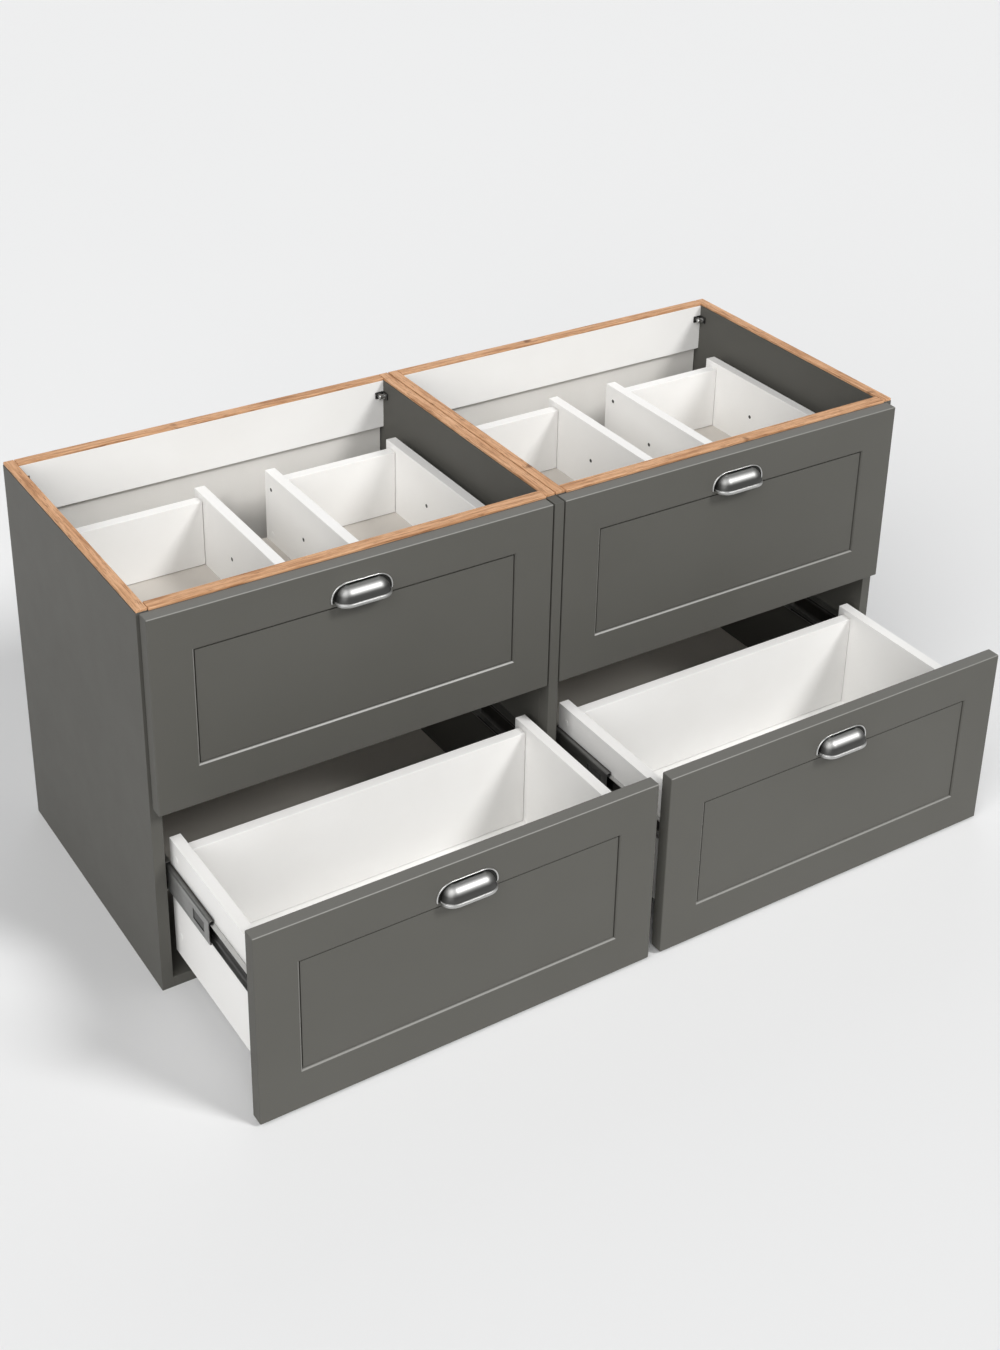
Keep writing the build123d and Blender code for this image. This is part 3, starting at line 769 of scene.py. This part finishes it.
def slide_channels(unit, level):
    """The middle and inner channels of both slides of a drawer. The middle ones have a release window near
    the front, a rivet window behind it and lips darkened, part grease and part painted shade."""
    windows = release_window, rivet_window
    kinds = {"slide_middle": (middle_reach, f"{unit}_{level}_telescope", windows, 1.0, None),
             "slide_inner": (inner_reach, f"{unit}_{level}_drawer", (), 0.0, rail_steel)}
    for kind, (reach, body, openings, lip_grease_and_shade, steel) in kinds.items():
        node = f"{unit}_{level}_{kind}"
        low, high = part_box(node)
        parts, grease_and_painted_shade = [], []
        for facing in (1, -1):
            near = Vector((low.x if facing > 0 else high.x - reach, low.y, low.z))
            far = Vector((low.x + reach if facing > 0 else high.x, high.y, high.z))
            opened = [(low.y + start, low.y + end) for start, end in openings]
            toward = facing if kind == "slide_middle" else -facing
            points, faces, grease_and_shade = channel(near, far, reach, toward, opened, lip_grease_and_shade)
            parts.append((points, faces))
            grease_and_painted_shade.append(grease_and_shade)
        points, faces = joined(parts)
        settle(f"{node}_rails", points, faces, slot_of[node], body, [node], steel,
               attributes={"grease_and_painted_shade": np.concatenate(grease_and_painted_shade)})


def slide_fittings(unit, level):
    """Black stop blocks at the mouths of a drawer's middle channels, above and below the inner channels,
    and a grey lever behind each release window."""
    low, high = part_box(f"{unit}_{level}_slide_middle")
    inner_low, inner_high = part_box(f"{unit}_{level}_slide_inner")
    middle = (low.z + high.z) / 2
    stop_end = low.y + stop_length
    lever_start, lever_end = (low.y + place for place in lever_span)
    stops, levers = [], []
    for wall, inward in ((low.x, 1), (high.x, -1)):
        near, far = sorted((wall + inward * sheet, wall + inward * middle_reach))
        stops.append(((near, low.y, low.z + sheet), (far, stop_end, inner_low.z - lever_thickness)))
        stops.append(((near, low.y, inner_high.z + lever_thickness), (far, stop_end, high.z - sheet)))
        near, far = sorted((wall + inward * sheet, wall + inward * (sheet + lever_thickness)))
        levers.append(((near, lever_start, middle - lever_half), (far, lever_end, middle + lever_half)))
    body = f"{unit}_{level}_telescope"
    boards(f"{unit}_{level}_slide_stops", stops, "cage_plastic", body, soft=stop_soft)
    boards(f"{unit}_{level}_slide_levers", levers, "cage_plastic", body, (), lever_plastic, lever_soft)


def peg_hole_shades(unit):
    """Dark discs as painted shade in the peg holes of an upper drawer: a low head on the left-hand face and
    a shank in the hole. One more dark disc of the same kind sits on the cap of the right-hand partition's
    top screw."""
    part_low, part_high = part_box(f"{unit}_upper_partitions")
    side_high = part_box(f"{unit}_upper_sides")[1]
    back_low, back_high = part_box(f"{unit}_upper_backs")
    y, z = side_high.y - peg_hole_from_rear, side_high.z - peg_hole_drop
    bay_face = part_high.x - side_thickness
    faces_at = (part_low.x, bay_face, side_high.x - side_thickness)
    places = [((face, y, z), peg_shade_depth) for face in faces_at]
    on_cap = (bay_face - cap_rise, (back_low.y + back_high.y) / 2, back_high.z - box_screw_margin)
    places.append((on_cap, cap_rise))
    shank = shade_fit * peg_hole_radius
    radius = (shade_crown * peg_shade_radius, peg_shade_radius, peg_shade_radius, shank, shank)
    head = (-peg_shade_rise, -peg_shade_rise / 2, 0, 0)
    points, faces = joined([turned(place, 0, (*head, depth), radius) for place, depth in places])
    # Dark discs: painted shade in the peg holes
    settle(f"{unit}_upper_peg_plugs", points, faces, "cage_plastic", f"{unit}_upper_drawer")


def screw_caps(unit, level):
    """Low white caps over the box screws: on the outer faces of a lower drawer, and in an upper drawer on
    the two faces of the trap bay."""
    if level == "lower":
        low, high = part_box(f"{unit}_lower_sides")
        facing_left, facing_right = low.x, high.x
    else:
        low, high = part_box(f"{unit}_upper_partitions")
        facing_left, facing_right = high.x - side_thickness, low.x + side_thickness
    back_low, back_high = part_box(f"{unit}_{level}_backs")
    y = (back_low.y + back_high.y) / 2
    rise = cap_rise * np.array(cap_rises)
    radius = cap_radius * np.array(cap_radii)
    parts = []
    for z in (back_low.z + box_screw_margin, back_high.z - box_screw_margin):
        parts.append(turned((facing_right, y, z), 0, rise, radius))
        parts.append(turned((facing_left, y, z), 0, -rise[::-1], radius[::-1]))
    points, faces = joined(parts)
    settle(f"{unit}_{level}_screw_caps", points, faces, "white_board", f"{unit}_{level}_drawer")


def corner_barrels(unit):
    """The bright barrel of each corner fitting, lying in front of the rail against the side."""
    left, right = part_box(f"{unit}_side_left")[1].x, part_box(f"{unit}_side_right")[0].x
    low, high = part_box("corner_brackets")
    y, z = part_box(f"{unit}_back_rail")[0].y - barrel_offset, (low.z + high.z) / 2
    place = np.array(barrel_places)
    radius = barrel_radius * np.array(barrel_radii)
    points, faces = joined([turned((left, y, z), 0, place, radius),
                            turned((right, y, z), 0, -place[::-1], radius[::-1])])
    settle(f"{unit}_corner_barrels", points, faces, "screw_steel", "carcass")


def lower_sides(unit):
    """The plain outer boards of a lower drawer box, one on each hand."""
    node = f"{unit}_lower_sides"
    low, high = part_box(node)
    thick = Vector((side_thickness, 0, 0))
    spans = [(low, Vector((low.x, high.y, high.z)) + thick), (Vector((high.x, low.y, low.z)) - thick, high)]
    boards(f"{node}_boards", spans, slot_of[node], f"{unit}_lower_drawer", [node])


def box_backs(unit):
    """The back boards of both drawer boxes, set a hair away from what they stand between and on. The upper
    box has one on each side of the trap bay."""
    for level in levels:
        node = f"{unit}_{level}_backs"
        low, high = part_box(node)
        ends = [low.x, high.x]
        if level == "upper":
            part_low, part_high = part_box(f"{unit}_upper_partitions")
            ends = [low.x, part_low.x, part_high.x, high.x]
        spans = [((left + joint_gap, low.y, low.z + joint_gap), (right - joint_gap, high.y, high.z))
                 for left, right in zip(ends[::2], ends[1::2])]
        boards(f"{node}_boards", spans, slot_of[node], f"{unit}_{level}_drawer", [node])


def dress_nodes():
    """Give every node that still shows its slot's finish. The drawers' screws are bronzed, and the upper
    drawers' floors are darkened and warmed as painted shade."""
    endings = {"er_screws": bronzed_screw, "upper_floor": floor_painted_shade}
    for node, piece in frame["nodes"].items():
        special = [finish for ending, finish in endings.items() if node.endswith(ending)]
        piece.data.materials.clear()
        piece.data.materials.append(special[0] if special else finishes[slot_of[node]])


def add_floor():
    """A wide pale floor, laid as one flat square."""
    corners = np.array([(-1, -1), (1, -1), (1, 1), (-1, 1)]) * floor_half
    points = np.concatenate([corners, np.zeros((4, 1))], 1)
    mesh = bpy.data.meshes.new("floor")
    mesh.from_pydata(points.tolist(), [], [[0, 1, 2, 3]])
    finish = Finish("floor_paint", {"Specular IOR Level": 0.0, "Roughness": 1.0})
    cloud = finish.noise(finish.place(), 0.8, 2.0)
    pale, paler = (floor_tone - floor_drift,) * 3, (floor_tone + floor_drift,) * 3
    mesh.materials.append(finish.paint(base_color=finish.blend(cloud, (*pale, 1), (*paler, 1))))
    floor = bpy.data.objects.new("floor", mesh)
    bpy.context.scene.collection.objects.link(floor)


def add_sun(name, comes_from, level, angle, colour=(1, 1, 1)):
    """A distant lamp that shines from a direction at a level, and looks as wide as the angle."""
    lamp = bpy.data.lights.new(name, "SUN")
    lamp.energy = level * math.pi
    lamp.angle = angle
    lamp.color = colour
    sun = bpy.data.objects.new(name, lamp)
    sun.rotation_mode = "QUATERNION"
    sun.rotation_quaternion = comes_from.to_track_quat("Z", "Y")
    bpy.context.scene.collection.objects.link(sun)


def add_sky():
    """A dim, even studio sky."""
    world = bpy.data.worlds.new("studio")
    world.use_nodes = True
    background = world.node_tree.nodes["Background"]
    background.inputs["Color"].default_value = (*sky_colour, 1)
    background.inputs["Strength"].default_value = sky_level
    bpy.context.scene.world = world


def add_camera():
    """The camera looks along its turned Y axis; the optical axis passes above the middle of the frame."""
    data = bpy.data.cameras.new("camera")
    data.sensor_width = sensor_mm
    data.lens = focal_px / image_height * sensor_mm
    data.shift_y = (optical_axis_row - image_height / 2) / image_height
    turn = Matrix.Rotation(camera_turn, 3, "Z")
    turn = turn @ Matrix.Rotation(camera_tilt, 3, "X") @ Matrix.Rotation(camera_roll, 3, "Y")
    right, forward, up = turn.col
    facing = Matrix((right, up, -forward)).transposed().to_4x4()
    camera = bpy.data.objects.new("camera", data)
    camera.matrix_world = Matrix.Translation(camera_place) @ facing
    bpy.context.scene.collection.objects.link(camera)
    bpy.context.scene.camera = camera


dress_nodes()
cabinet_boards()
for unit in units:
    lower_sides(unit)
    box_backs(unit)
    peg_hole_shades(unit)
    corner_barrels(unit)
    for level in levels:
        screw_caps(unit, level)
        framed_front(unit, level)
        cup_pull(unit, level)
        slide_channels(unit, level)
        slide_fittings(unit, level)
add_floor()
add_sun("key", key_from, key_level, key_angle)
add_sun("fill", fill_from, fill_level, fill_angle)
add_sun("rim", rim_from, rim_level, rim_angle, rim_colour)
add_sky()
add_camera()
bpy.context.scene.view_settings.view_transform = "Standard"
